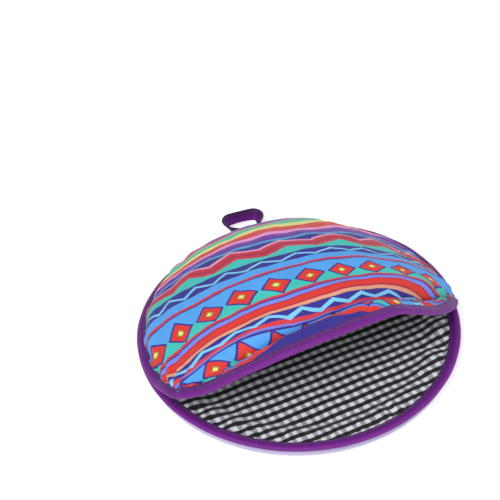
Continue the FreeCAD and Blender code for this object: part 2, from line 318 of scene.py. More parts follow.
def gingham(tree, spot):
    """Checks of white and black yarn. The rows across are darker than the rows that cross them."""
    split = add(tree, "ShaderNodeSeparateXYZ", {"Vector": spot})
    total = None
    for axis, share in (("X", PALE_SHARE), ("Y", DARK_SHARE)):
        saw = add(tree, "ShaderNodeMath", {0: split.outputs[axis], 1: CHECK}, operation="PINGPONG")
        dark = add(tree, "ShaderNodeMapRange", {"Value": saw.outputs[0], "From Min": CHECK * 0.45,
                                                 "From Max": CHECK * 0.55, "To Max": share})
        total = dark.outputs["Result"] if total is None else add(
            tree, "ShaderNodeMath", {0: total, 1: dark.outputs["Result"]}, operation="ADD").outputs[0]
    ramp = add(tree, "ShaderNodeValToRGB", {"Fac": total})
    stops = ramp.color_ramp.elements
    stops[0].color = colour("#ededf3")
    stops[1].color = colour("#0c0c10")
    stops.new(PALE_SHARE).color = colour("#a4a4ae")
    stops.new(DARK_SHARE).color = colour("#26262b")
    return ramp.outputs["Color"]


def lower_lining_shape(spots):
    """The disc in place, with a low roll inside the tape and puckers that shear its checks."""
    mouth = rim_spot(BOUND_DEPTH, BOUND_HALF)
    radius, angle, places = panel_place(spots, STACK, mouth[1])
    x, y = np.sin(angle), np.cos(angle)
    ridge = ripple(x * 110, y * 110, 8.5, 1.7) + 0.6 * ripple(x * 100, y * 100, 4.2, 6.1)
    near = eased((radius - PUCKER_START) / 46) ** 1.5 * eased((PUCKER_END - radius) / 6)
    strength = 1.0 + 0.8 * ripple(x * 90, y * 90, 34, 5.3)
    places[:, 2] += near * PUCKER_HEIGHT * strength * (np.abs(ridge) - 0.25)
    places[:, 2] += ROLL_HEIGHT * np.exp(-((radius - ROLL_RADIUS) / 9) ** 2)
    slack = ripple(places[:, 0], places[:, 1], 52, 2.2) + 0.5 * ripple(places[:, 0], places[:, 1], 21, 4.2)
    places[:, 2] += SLACK_HEIGHT * slack * eased((138 - radius) / 30)
    shear = near * CHECK_SHEAR * ripple(x * 110, y * 110, 9.0, 12.7) * strength
    slid = angle + shear / np.maximum(radius, 20)
    flat = round_spots(radius, slid)
    flat += CHECK_DRIFT * np.stack([ripple(places[:, 0], places[:, 1], 35, 8.5),
                                    ripple(places[:, 0], places[:, 1], 35, 9.5)], axis=1)
    return places, flat


def lining_line(level):
    """Radius and height from the middle out, at a height above the panel's base."""
    mouth = rim_spot(BOUND_DEPTH, level - STACK + BOUND_HALF)
    flat = FLAT_RADIUS - 8
    belly = (130.0, level + 1.6 + (mouth[1] - level) * 0.3)
    rise = line_through([(flat, level), belly, mouth], 18)
    rings = [(r, level) for r in np.arange(0, flat - 2, 2.6)]
    return rings + [tuple(spot) for spot in rise] + [rim_spot(EDGE_SETBACK, level - STACK + BOUND_HALF)]


lining_loop = lining_line(STACK) + lining_line(STACK - LINING)[::-1]
lower_lining = spun("lower_lining_cloth", lining_loop, LINING_STEPS, lower_lining_shape)
gingham_cotton = woven("gingham_cotton", thread=0.7, roughness=0.72, sheen=0.2, relief=0.4, paint=gingham)
lower_lining.data.materials.append(gingham_cotton)
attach(lower_lining, "root")
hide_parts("lower_lining")


# Lower wadding: the needled polyester pad between the two cloths of the lower panel.
# It is a loose white felt, pressed thin where the tape grips it and full everywhere else,
# and it keeps the warmth in.
WADDING_GAP = 0.12
PRESSED_LOW = -0.5
PRESSED_HIGH = 0.3
SETTLED = 0.5
FIBRE_SIZE = 0.7


def fibre(tree, spot):
    """Matted white fibres that cross each other."""
    mat = add(tree, "ShaderNodeTexNoise", {"Vector": spot, "Scale": 1 / FIBRE_SIZE, "Detail": 6.0,
                                            "Distortion": 2.0})
    mixed = add(tree, "ShaderNodeMix", {0: mat.outputs["Fac"], 6: colour("#e6e4de"), 7: colour("#f7f6f2")},
                data_type="RGBA")
    return mixed.outputs[2]


def lower_wadding_shape(spots):
    """The pad in place, drawn in and down at the back with the cloths round it."""
    radius, angle, places = panel_place(spots, STACK / 2, rim_spot(BOUND_DEPTH, 0)[1])
    return places, round_spots(radius, angle)


pad_low = CLOTH + WADDING_GAP
pad_high = STACK - LINING - WADDING_GAP - SETTLED
low_edge = line_through([(FLAT_RADIUS - 6, pad_low), (FLAT_RADIUS + 8, pad_low + 0.1),
                         (BELLY_RADIUS - 7, 3.4), (BELLY_RADIUS - 3.4, 5.6),
                         rim_spot(BOUND_DEPTH + 1, PRESSED_LOW)], 14)
high_edge = line_through([(FLAT_RADIUS - 10, pad_high), (130, pad_high + 1.9),
                          rim_spot(BOUND_DEPTH + 1.5, PRESSED_HIGH)], 12)
pad_line = [(0, pad_low), (60, pad_low)] + [tuple(spot) for spot in low_edge]
pad_line += [rim_spot(EDGE_SETBACK, PRESSED_LOW), rim_spot(EDGE_SETBACK, PRESSED_HIGH)]
pad_line += [tuple(spot) for spot in high_edge[::-1]] + [(60, pad_high), (0, pad_high)]
lower_wadding = spun("lower_wadding_pad", pad_line, 128, lower_wadding_shape)
# Needled polyester felt: white, rough and without gloss, its threads matted instead of woven.
needled_wadding = woven("needled_wadding", thread=1.2, roughness=0.9, sheen=0.4, relief=0.5, paint=fibre)
lower_wadding.data.materials.append(needled_wadding)
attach(lower_wadding, "root")
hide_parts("lower_wadding")


# Lower binding: purple bias tape, folded over the raw edges of the lower panel all the way round.
# The tape is cut on the slant so that it bends without creases, and a line of stitches near its
# inner edge holds both folds down and draws a groove.
TAPE_HALF = 2.5
TAPE_PLIES = 0.9
STITCH_INSET = 2.3
DYE_AND_SHADE_SPAN = 12.0
LOWER_STEPS = 720


def tape_section():
    """Closed outline of folded tape as (inward, outward) points, with the sewn groove."""
    width, half, thick = TAPE_WIDTH, TAPE_HALF, TAPE_PLIES
    side = [(width, half - 0.25), (width - 0.5, half), (width - STITCH_INSET + 0.7, half + 0.05),
            (width - STITCH_INSET, half - 0.45), (width - STITCH_INSET - 0.8, half + 0.1),
            (width - 4.2, half + 0.5), (4.6, half + 0.6), (2.6, half + 0.2), (1.2, half * 0.72),
            (0.35, half * 0.4)]
    inside = [(width, half - thick - 0.1), (6, half - thick - 0.05), (2.2, half - thick - 0.2), (1.1, 0.5)]
    outline = side + [(0.05, 0)] + [(a, -b) for a, b in side[::-1]]
    return outline + [(a, -b) for a, b in inside] + inside[::-1]


def tape_ring(name, places, inwards, outwards, widths, seed):
    """Folded tape along a closed row of frames, a little uneven as sewn by hand."""
    steps = len(places)
    section = np.array(tape_section() + tape_section()[:1])
    bm, column, row = grid(steps, len(section) - 1)
    i = column % steps
    closed = np.vstack([places, places[:1]])
    run = run_along(closed)
    turn = run[i] / run[-1] * math.tau
    x, y = run[-1] / math.tau * np.sin(turn), run[-1] / math.tau * np.cos(turn)
    inward, outward = section[row].T
    side = np.sign(outward)
    swell = 1 + 0.10 * ripple(x, y + 40 * side, 9, seed)
    outward = outward * swell + 0.35 * ripple(x, y, 26, seed + 3)
    wide = inward * widths[i] / TAPE_WIDTH
    wide = wide + 0.3 * ripple(x, y, 15, seed + 6) * eased(inward / TAPE_WIDTH)
    laid = places[i] + inwards[i] * wide[:, None] + outwards[i] * outward[:, None]
    return finished(name, bm, laid, cloth_mm=np.stack([run[column], side * inward], axis=1))


def tape_dye_and_painted_shade(tree, spot):
    """Purple dye with painted shade and a painted highlight: darker in the sewn groove and at the cut edge
    as painted shade, and paler along the fold as a painted highlight.
    """
    split = add(tree, "ShaderNodeSeparateXYZ", {"Vector": spot})
    across = add(tree, "ShaderNodeMath", {0: split.outputs["Y"]}, operation="ABSOLUTE")
    share = add(tree, "ShaderNodeMath", {0: across.outputs[0], 1: 1 / DYE_AND_SHADE_SPAN}, operation="MULTIPLY")
    node = add(tree, "ShaderNodeValToRGB", {"Fac": share.outputs[0]})
    ramp = node.color_ramp
    # Stops across the tape from its fold: the pale fold is a painted highlight, and the dark stops at the
    # stitch groove and at the cut edge are painted shade.
    stops = [(0.0, "#7c2292"), (0.1, "#701788"), (0.35, "#65107e"), (0.58, "#5c0e74"), (0.655, "#3e0a4e"),
             (0.685, "#360844"), (0.72, "#580f6e"), (0.83, "#540f6a"), (0.875, "#32083e")]
    ramp.elements[0].color = colour(stops[0][1])
    ramp.elements[1].position = stops[-1][0]
    ramp.elements[1].color = colour(stops[-1][1])
    for place, code in stops[1:-1]:
        ramp.elements.new(place).color = colour(code)
    return node.outputs["Color"]


def blurred(row, reach):
    """Closed row of vectors, each the mean of those within reach steps."""
    total = row.copy()
    weight = 1.0
    for k in range(1, reach + 1):
        share = 0.5 * (1 + math.cos(math.pi * k / (reach + 1)))
        total += share * (np.roll(row, k, axis=0) + np.roll(row, -k, axis=0))
        weight += 2 * share
    return total / weight


def unit(rows):
    """Vectors of length 1 along each row."""
    return rows / np.linalg.norm(rows, axis=1)[:, None]


ring_angle = np.arange(LOWER_STEPS) * math.tau / LOWER_STEPS
ring_share = back_share(ring_angle)
ring_radius = PANEL_RADIUS - BACK_PULL * ring_share
ring_out = np.stack([np.sin(ring_angle), -np.cos(ring_angle), 0 * ring_angle], axis=1)
lower_places = ring_out * ring_radius[:, None]
lower_places[:, 2] = RIM_HEIGHT - BACK_DROP * ring_share
ring_up = np.array([0, 0, 1.0])
lower_inward = -ring_out * math.cos(RIM_TILT) - ring_up * math.sin(RIM_TILT)
lower_outward = -ring_out * math.sin(RIM_TILT) + ring_up * math.cos(RIM_TILT)
lower_widths = np.full(LOWER_STEPS, TAPE_WIDTH)
lower_binding = tape_ring("lower_binding_tape", lower_places, lower_inward, lower_outward,
                          lower_widths, seed=11.3)
# Polyester and cotton tape, pressed in folds: a deep purple with a slight sheen on its rolled edge. Its
# colour holds painted shade in the sewn groove and at the cut edge, and a painted highlight along the
# rolled fold.
bias_tape = woven("bias_tape", thread=0.75, roughness=0.6, sheen=0.12, relief=0.4, paint=tape_dye_and_painted_shade)
lower_binding.data.materials.append(bias_tape)
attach(lower_binding, "root")
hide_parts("lower_binding")


# Upper cloth: the printed cloth of the hood, in stripes, zigzags and rows of diamonds.
# It is cut as a round like the lower panel. Here the mouth stands open, so the cloth arches from
# one mouth corner to the other, with a deep crease behind the lip where the front was pushed up.
MOUTH_ANGLE = math.radians(70)
HALF_CHORD = PANEL_RADIUS * math.sin(MOUTH_ANGLE)
HINGE_Y = -PANEL_RADIUS * math.cos(MOUTH_ANGLE)
HINGE_Z = 21.1
CORNER = 5.0
LIP_ANGLE = math.radians(56)
BRIM_HEIGHT = 71.0
FOLD_HEIGHT = 74.0
CROWN_HEIGHT = 75.5
CROWN_BACK = 44.0
SHOULDER_HEIGHT = 63.0
lip_y = HINGE_Y - (PANEL_RADIUS + HINGE_Y) * math.cos(LIP_ANGLE)
lip_z = HINGE_Z + (PANEL_RADIUS + HINGE_Y) * math.sin(LIP_ANGLE)
hood_spots = [(lip_y, lip_z), (lip_y + 16, lip_z - 2.5), (lip_y + 36, HINGE_Z + BRIM_HEIGHT),
              (HINGE_Y - 8, HINGE_Z + FOLD_HEIGHT), (HINGE_Y + CROWN_BACK, HINGE_Z + CROWN_HEIGHT),
              (HINGE_Y + 90, HINGE_Z + SHOULDER_HEIGHT), (HINGE_Y + 136, HINGE_Z + 44),
              (PANEL_RADIUS - 11.6, HINGE_Z + 8.03), (PANEL_RADIUS, HINGE_Z + 0.2)]
hood_line = line_through(hood_spots, 1200)
hood_run = run_along(hood_line)
HOOD_LENGTH = float(hood_run[-1])
LEFT_CORNER = np.array([-HALF_CHORD, HINGE_Y, HINGE_Z])
LEFT_REACH = 26.0
LEFT_LIFT = 13.0
LEFT_SPREAD = 2.0
LIP_SAG = 11.5
LIP_PUSH = 5.0
SIDE_SEAM_DROP = 2.3
BACK_SEAM_DROP = 1.7
SEAM_SLOPE = 0.2


def pulled(places):
    """The sewn back draws the round in and down. The left mouth corner stands up where its tape is
    folded sharply, and the lip sags towards the right one."""
    share = back_share(np.arctan2(places[:, 0], -places[:, 1]))
    weight = share * (np.hypot(places[:, 0], places[:, 1]) / PANEL_RADIUS) ** 2
    scale = (1 - BACK_PULL / PANEL_RADIUS * weight)[:, None]
    moved = places * np.hstack([scale, scale, np.ones_like(scale)])
    moved[:, 2] -= BACK_DROP * weight
    left = np.exp(-np.sum((moved - LEFT_CORNER) ** 2, axis=1) / LEFT_REACH ** 2)
    moved[:, 2] += LEFT_LIFT * left
    moved[:, 0] -= LEFT_SPREAD * left
    sag = eased((moved[:, 0] - 35) / 60) * eased((HINGE_Y + 6 - moved[:, 1]) / 40)
    moved[:, 2] -= LIP_SAG * sag * eased((moved[:, 2] - 20) / 25)
    moved[:, 1] -= LIP_PUSH * sag
    return moved


def hood_middle(across, along):
    """Middle of the quilt. across runs from -1 to 1 between the mouth corners, along is in mm
    from the lip over the crown to the back seam, where the edge lies down on the lower tape."""
    y = np.interp(along, hood_run, hood_line[:, 0]) - HINGE_Y
    z = np.interp(along, hood_run, hood_line[:, 1]) - HINGE_Z
    sag = np.hypot(y, z)
    half = 2 * np.arctan2(sag, HALF_CHORD)
    end = np.arccos(np.cos(half) + CORNER * np.sin(half) / HALF_CHORD)
    turn = end * across
    x = HALF_CHORD * np.sin(turn) / np.sin(half)
    rise = HALF_CHORD * (np.cos(turn) - np.cos(half)) / np.sin(half)
    places = pulled(np.stack([x, HINGE_Y + y / sag * rise, HINGE_Z + z / sag * rise], axis=1))
    inside = (HOOD_LENGTH - along) * rise / sag
    off_corner = np.hypot(places[:, 0] - LEFT_CORNER[0], places[:, 1] - LEFT_CORNER[1])
    lying = eased((off_corner - 18) / 30)
    drop = SIDE_SEAM_DROP + BACK_SEAM_DROP * eased(places[:, 1] / 140)
    lying *= drop + SEAM_SLOPE * np.minimum(inside, 22)
    places[:, 2] -= lying * (1 - eased((inside - 6) / 18))
    return places, rise, sag


def hood_ways(across, along):
    """Outward and forward directions of the quilt."""
    step = 0.004
    left, right = np.clip(across - step, -1, 1), np.clip(across + step, -1, 1)
    front, back = np.clip(along - 1, 0, HOOD_LENGTH), np.clip(along + 1, 0, HOOD_LENGTH)
    side = hood_middle(right, along)[0] - hood_middle(left, along)[0]
    rear = hood_middle(across, back)[0] - hood_middle(across, front)[0]
    return unit(np.cross(side, rear)), -unit(rear)


CREASE = 38.5
CREASE_DEPTH = 4.6
FOLD_DEPTH = 6.0
BULGE_HEIGHT = 3.4
LIP_PUFF = 1.2
FOLD_LEAN = 5.5
SIDE_FLATTENING = 4.0
PUCKER_PITCH = 11.0
PUCKER_RISE = 1.6
LEFT_FAN = 2.2
RIGHT_FAN = 1.5
SOFT_FOLD = 2.0
FINE_FOLD = 0.8
PUFF = 1.6


def hood_flat(across, along):
    """Where a spot of the hood lies on the flat round of cloth, in mm."""
    front = -PANEL_RADIUS - HINGE_Y
    half = 2 * np.arctan2(front + 2 * PANEL_RADIUS * along / HOOD_LENGTH, HALF_CHORD)
    half = np.where(np.abs(half) < 1e-3, 1e-3, half)
    x = HALF_CHORD * np.sin(half * across) / np.sin(half)
    y = HINGE_Y + HALF_CHORD * (np.cos(half * across) - np.cos(half)) / np.sin(half)
    return np.stack([x, y], axis=1)


def creased(x):
    """Share of the crease at a place across the hood: it runs out before both mouth corners."""
    return eased((x + 108) / 38) * eased((132 - x) / 40)


def printed(across, along):
    """Where a spot of the hood lies on the print: along its rows and across them, in mm. The cloth is
    sewn on at a slant, its quilt draws the rows into a bow, and the crease hides part of the print.
    x and y are in units of 100 mm and are held short of the cloth's edge. The sizes of the slant, the
    bow, the squeeze and the twist come from a fit to where the rows lie in the photograph."""
    u, v = hood_flat(across, along).T / 100
    x, y = np.clip(u, -1.4, 0.85), np.clip(v, -1.3, 0.75)
    slant = 35.2 * x
    bow = -32.9 * x ** 2 - 9.0 * x ** 3 + 6.9 * x ** 4
    squeeze = -14.1 * y - 18.1 * y ** 2 + 0.3 * y ** 3
    twist = 0.5 * x * y - 16.2 * x ** 2 * y - 27.7 * x * y ** 2 - 11.7 * x ** 3 * y - 19.4 * x ** 2 * y ** 2
    over_crown = 65.8 + slant + bow + squeeze + twist
    over_back = 48 + 25 * u
    over_lip = 58.3 + 26 * x + 4 * x ** 2
    back = eased((v - 0.35) / 0.6)
    lip = creased(hood_middle(across, along)[0][:, 0]) * (1 - eased((along - CREASE + 2) / 5))
    shift = (over_crown * (1 - back) + over_back * back) * (1 - lip) + over_lip * lip
    stretch = -0.7 + 7.0 * x - 3.8 * x ** 2 - 4.8 * x ** 3
    return np.stack([100 * u + stretch, 100 * v + shift], axis=1)


def hood_level(across, along, level):
    """A surface in the quilt, from 0 (inside) to 1 (outside), with its puffs, puckers and crease."""
    middle, rise, sag = hood_middle(across, along)
    normal, forward = hood_ways(across, along)
    edge = np.minimum(along, HOOD_LENGTH - along) * rise / sag
    x = middle[:, 0]
    free = eased((edge - TAPE_WIDTH + 1) / 13)
    thick = 2 * BOUND_HALF + (STACK + PUFF - 2 * BOUND_HALF) * free
    offset = (level - 0.5) * thick
    centred = creased(x)
    wander = along - CREASE - 2.2 * ripple(x, x * 0, 45, 3.3)
    broad = np.exp(-(wander / 10) ** 2)
    sharp = np.exp(-(np.abs(wander) / 3.4) ** 1.6)
    bulge = np.exp(-((wander - 15) / 10) ** 2)
    brim = np.exp(-((wander + 17) / 9) ** 2)
    fold = -CREASE_DEPTH * broad - FOLD_DEPTH * sharp * level + BULGE_HEIGHT * bulge + LIP_PUFF * brim
    offset += centred * free * fold
    lean = centred * free * FOLD_LEAN * np.exp(-((wander - 7) / 7) ** 2)
    offset -= SIDE_FLATTENING * eased((x - 50) / 50) * eased((middle[:, 1] + 40) / 50) * free
    walk = across * 190
    beat = np.sin(walk / PUCKER_PITCH * math.pi + 3.0 * ripple(walk, along, 40, 6.1))
    pucker = np.exp(-np.maximum(edge - TAPE_WIDTH, 0) / 9) * eased((edge - 9) / 4)
    offset += PUCKER_RISE * level * pucker * beat * (1 + 0.7 * ripple(walk, along, 30, 9.9))
    fan = np.sin(along / HOOD_LENGTH * 44 + 2 * ripple(x, along, 30, 5.0))
    left = eased((rise - 8) / 10) * np.exp(-(rise / 34) ** 2) * (x < 0)
    right = eased((rise - 8) / 12) * np.exp(-(rise / 30) ** 2) * (x > 0)
    offset += level * fan * (LEFT_FAN * left + RIGHT_FAN * right) * eased((edge - 9) / 5)
    soft = ripple(x, along, 58, 2.8) + 0.45 * ripple(x, along, 24, 4.4)
    offset += SOFT_FOLD * free * level * soft
    offset += FINE_FOLD * free * level * ripple(x, along, 14, 7.4)
    return middle + normal * offset[:, None] + forward * lean[:, None]


def hood_sheet(name, low, high, columns, rows):
    """Closed mesh between two levels of the hood's quilt: a grid, given its wall, laid in place."""
    bm = bmesh.new()
    bmesh.ops.create_grid(bm, x_segments=columns, y_segments=rows, size=1)
    bmesh.ops.solidify(bm, geom=bm.faces[:], thickness=0.5)
    bmesh.ops.recalc_face_normals(bm, faces=bm.faces)
    spots = np.array([v.co for v in bm.verts])
    across = spots[:, 0]
    back_rise, back_sag = hood_middle(across, np.full_like(across, HOOD_LENGTH))[1:]
    setback = np.minimum(EDGE_SETBACK * back_sag / back_rise, 0.4 * HOOD_LENGTH)
    along = setback + (spots[:, 1] + 1) / 2 * (HOOD_LENGTH - 2 * setback)
    level = np.where(spots[:, 2] > spots[:, 2].mean(), high, low)
    return finished(name, bm, hood_level(across, along, level), cloth_mm=hood_flat(across, along),
                    print_mm=printed(across, along))


# Colours of the printing inks, then the bands of the print: each starts at a place in mm across the
# rows and runs to the next one. An empty colour lets what lies under it show.
INDIGO = "#332a8e"
SCARLET = "#e2382e"
CORAL = "#e0443a"
ROSE = "#d03c50"
CRIMSON = "#c8304c"
WINE = "#b02c48"
PINK = "#f5a0e0"
YELLOW = "#f5ef90"
TURQUOISE = "#42c8be"
SKY = "#55a8f5"
PALE_SKY = "#80d0fa"
CORNFLOWER = "#6a8ae8"
VIOLET = "#7a3aa2"
BARE = ""
PRINT_LOW = -170.0
PRINT_SPAN = 370.0
FRONT_STRIPES = [(PRINT_LOW, INDIGO), (-75.5, SCARLET), (-70, INDIGO), (-69, "#5a8af0"), (-66.3, INDIGO),
                 (-65.3, TURQUOISE), (-56, SKY), (-46, INDIGO), (-45, "#7a80e0"), (-44, "#d83a48"),
                 (-41, INDIGO), (-32.8, "#e8a080"), (-31, "#6e2350"), (-30, WINE), (-29, SCARLET),
                 (-23.4, WINE), (-22.4, INDIGO), (-21.3, "#7a8cf0"), (-17.7, INDIGO), (-16.7, ROSE),
                 (-13.7, INDIGO), (-12.7, TURQUOISE)]
REAR_STRIPES = [(PRINT_LOW, BARE), (0, SKY), (17.2, INDIGO), (18, ROSE), (21.3, INDIGO), (22.2, SKY),
                (29.5, INDIGO), (43, TURQUOISE), (73, CORNFLOWER), (77, "#4a3a9a"), (79, VIOLET),
                (86.5, PINK), (92, CORAL), (103.5, YELLOW), (113, "#58cca8"), (127, PINK), (130, CORAL),
                (141, VIOLET), (149, CORNFLOWER), (153, INDIGO), (166, TURQUOISE), (178, INDIGO),
                (179, CORAL), (186, "#f5b090"), (190, SKY)]
FRONT_ZIGZAG = [(PRINT_LOW, BARE), (-38.6, PALE_SKY), (-36.2, BARE)]
REAR_ZIGZAG = [(PRINT_LOW, BARE), (34.8, PALE_SKY), (37.6, BARE)]
BROAD_ZIGZAG = [(PRINT_LOW, BARE), (51.3, "#4a2068"), (52.5, CRIMSON), (58.2, "#7a1c44"), (59.6, CRIMSON),
                (65.2, "#f0a0c0"), (67.6, INDIGO), (80, BARE)]
BROAD_ZIGZAG_END = 73.0
BROAD_HALF_PITCH = 20.2
DIAMOND_PITCH = 26.8
DIAMOND_PHASE = 4.0
DIAMOND_HALF = 12.6
DIAMOND = [(0.0, "#f2f08a"), (0.2, "#8f9a3c"), (0.3, SCARLET), (0.82, INDIGO), (1.0, BARE)]
ROW_GAP = 56.5
PRINT_WOBBLE = 5.0
WOBBLE_SIZE = 28.6


def banded(tree, value, low, span, stops):
    """Bands with hard edges along a value in mm. An empty colour lets what lies under it show."""
    scaled = add(tree, "ShaderNodeMapRange", {"Value": value, "From Min": low, "From Max": low + span})
    node = add(tree, "ShaderNodeValToRGB", {"Fac": scaled.outputs["Result"]})
    ramp = node.color_ramp
    ramp.interpolation = "CONSTANT"
    ramp.elements.remove(ramp.elements[1])
    for k, (place, code) in enumerate(stops):
        stop = ramp.elements[0] if k == 0 else ramp.elements.new((place - low) / span)
        stop.position = (place - low) / span
        stop.color = colour(code) if code else (0, 0, 0, 0)
    return node.outputs


def zigzagged(tree, u, w, half_pitch, slope, stops):
    """Bands that run in zigzags along u."""
    saw = add(tree, "ShaderNodeMath", {0: u, 1: half_pitch}, operation="PINGPONG")
    rise = add(tree, "ShaderNodeMath", {0: saw.outputs[0], 1: slope, 2: -slope * half_pitch / 2},
               operation="MULTIPLY_ADD")
    bent = add(tree, "ShaderNodeMath", {0: w, 1: rise.outputs[0]}, operation="ADD")
    return banded(tree, bent.outputs[0], PRINT_LOW, PRINT_SPAN, stops)


def serape(tree, spot):
    """Striped print: straight bands, then zigzags, then two rows of diamonds, with a hand-drawn wobble.
    It is laid out on a map of its own, so the spot on the cloth isn't used."""
    rows = add(tree, "ShaderNodeUVMap", uv_map="print_mm").outputs["UV"]
    drift = add(tree, "ShaderNodeTexNoise", {"Vector": rows, "Scale": 1 / WOBBLE_SIZE, "Detail": 2.0})
    off = add(tree, "ShaderNodeVectorMath", {0: drift.outputs["Color"], 1: (0.5, 0.5, 0.5)},
              operation="SUBTRACT")
    move = add(tree, "ShaderNodeVectorMath", {0: off.outputs[0], 3: PRINT_WOBBLE}, operation="SCALE")
    drawn = add(tree, "ShaderNodeVectorMath", {0: rows, 1: move.outputs[0]}, operation="ADD")
    split = add(tree, "ShaderNodeSeparateXYZ", {"Vector": drawn.outputs[0]})
    u, w = split.outputs["X"], split.outputs["Y"]
    painted = banded(tree, w, PRINT_LOW, PRINT_SPAN, FRONT_STRIPES)["Color"]
    rear = banded(tree, w, PRINT_LOW, PRINT_SPAN, REAR_STRIPES)
    crest = zigzagged(tree, u, w, DIAMOND_PITCH / 2, 0.33, FRONT_ZIGZAG)
    fine = zigzagged(tree, u, w, DIAMOND_PITCH / 2, 0.55, REAR_ZIGZAG)
    broad = zigzagged(tree, u, w, BROAD_HALF_PITCH, 0.48, BROAD_ZIGZAG)
    below = add(tree, "ShaderNodeMath", {0: w, 1: BROAD_ZIGZAG_END}, operation="LESS_THAN")
    shown = add(tree, "ShaderNodeMath", {0: broad["Alpha"], 1: below.outputs[0]}, operation="MULTIPLY")
    front = add(tree, "ShaderNodeMath", {0: w, 1: -ROW_GAP / 2}, operation="LESS_THAN")
    row = add(tree, "ShaderNodeMath", {0: front.outputs[0], 1: ROW_GAP, 2: w}, operation="MULTIPLY_ADD")
    tall = add(tree, "ShaderNodeMath", {0: row.outputs[0]}, operation="ABSOLUTE")
    shift = add(tree, "ShaderNodeMath", {0: u, 1: DIAMOND_PHASE}, operation="ADD")
    side = add(tree, "ShaderNodeMath", {0: shift.outputs[0], 1: DIAMOND_PITCH / 2}, operation="PINGPONG")
    wide = add(tree, "ShaderNodeMath", {0: side.outputs[0], 1: 1 / DIAMOND_HALF}, operation="MULTIPLY")
    size = add(tree, "ShaderNodeMath", {0: tall.outputs[0], 1: 1 / DIAMOND_HALF, 2: wide.outputs[0]},
               operation="MULTIPLY_ADD")
    figure = banded(tree, size.outputs[0], 0.0, 2.0, DIAMOND)
    for share, paint in ((rear["Alpha"], rear["Color"]), (crest["Alpha"], crest["Color"]),
                         (fine["Alpha"], fine["Color"]), (shown.outputs[0], broad["Color"]),
                         (figure["Alpha"], figure["Color"])):
        layer = add(tree, "ShaderNodeMix", {0: share, 6: painted, 7: paint}, data_type="RGBA")
        painted = layer.outputs[2]
    return painted


def bends(piece, *nodes):
    """Bake the piece's place into its mesh and hide the parts it replaces. The bend between the crown and
    the front, which swings at the mouth corners on the real hood, is already built into the piece's shape.
    """
    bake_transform(piece)
    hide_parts(*nodes)


upper_cloth = hood_sheet("upper_cloth", low=1 - CLOTH / STACK, high=1.0, columns=230, rows=150)
# Printed cotton poplin: the inks stay matt and full, and the thread only softens them.
printed_poplin = woven("printed_poplin", thread=0.8, roughness=0.58, sheen=0.05, relief=0.3, paint=serape)
upper_cloth.data.materials.append(printed_poplin)
bends(upper_cloth, "flap_cloth", "fold_band_cloth", "upper_back_cloth")


# Upper lining: the gingham inside of the hood, the same cloth as the lower lining.
# It is caught in the same tape as the print, and it shows inside the mouth.
upper_lining = hood_sheet("upper_lining", low=0.0, high=LINING / STACK, columns=200, rows=120)
upper_lining.data.materials.append(gingham_cotton)
bends(upper_lining, "flap_lining", "fold_band_lining", "upper_back_lining")


# Upper wadding: the same needled pad as below, cut to the same round.
# It lies between the print and the upper lining, pressed thin in the tape and pinched in the crease.
upper_wadding = hood_sheet("upper_wadding_pad", low=0.18, high=0.78, columns=120, rows=130)
upper_wadding.data.materials.append(needled_wadding)
bends(upper_wadding, "flap_wadding", "fold_band_wadding", "upper_back_wadding")


# Upper binding: one length of the same bias tape round the hood's whole edge.
# It follows the back seam from mouth corner to mouth corner and comes back along the lip. The left
# corner is folded sharply, and the right one is eased round.
UPPER_STEPS = 760
LEAD = 9.0
SHARP_REACH = 4
ROUND_REACH = 14
CORNER_SHARE = 0.62


def hood_edge():
    """Closed row of places and inward directions round the hood: right corner, back, left, lip."""
    share = np.linspace(1, -1, 900)
    rows = []
    for across, edge, inside in ((share, HOOD_LENGTH, HOOD_LENGTH - LEAD), (-share, 0.0, LEAD)):
        place = hood_middle(across, np.full_like(across, edge))[0]
        beyond = hood_middle(across, np.full_like(across, inside))[0]
        rows.append((place, unit(beyond - place)))
    place = np.vstack([rows[0][0], rows[1][0]])
    inward = np.vstack([rows[0][1], rows[1][1]])
    closed = [np.vstack([row, row[:1]]) for row in (place, inward)]
    run = run_along(closed[0])
    even = np.linspace(0, run[-1], UPPER_STEPS, endpoint=False)
    return [points_at(even, run, row) for row in closed]


edge_place, edge_inward = hood_edge()
round_side = eased((edge_place[:, 0] - 40) / 60)[:, None]
upper_places = blurred(edge_place, SHARP_REACH) * (1 - round_side)
upper_places += blurred(edge_place, ROUND_REACH) * round_side
upper_inward = unit(blurred(edge_inward, 9))
tangent = unit(np.roll(upper_places, -1, axis=0) - np.roll(upper_places, 1, axis=0))
upper_inward = unit(upper_inward - tangent * np.sum(upper_inward * tangent, axis=1)[:, None])
upper_outward = np.cross(tangent, upper_inward)
hinge_off = np.hypot(np.abs(upper_places[:, 0]) - HALF_CHORD, upper_places[:, 1] - HINGE_Y)
hinge_off = np.hypot(hinge_off, upper_places[:, 2] - HINGE_Z)
upper_widths = TAPE_WIDTH * (CORNER_SHARE + (1 - CORNER_SHARE) * eased((hinge_off - 4) / 22))
upper_binding = tape_ring("upper_binding_tape", upper_places, upper_inward, upper_outward,
                          upper_widths, seed=21.9)
upper_binding.data.materials.append(bias_tape)
bends(upper_binding, "flap_binding", "upper_back_binding")


# Topstitching: the line of purple polyester thread near the inner edge of each tape.
# It is a lock stitch, so it shows on both sides, each stitch sunk a little in its groove.
STITCH_LENGTH = 2.7
STITCH_PITCH = 3.4
THREAD_RADIUS = 0.28
TWIST_PITCH = 0.7


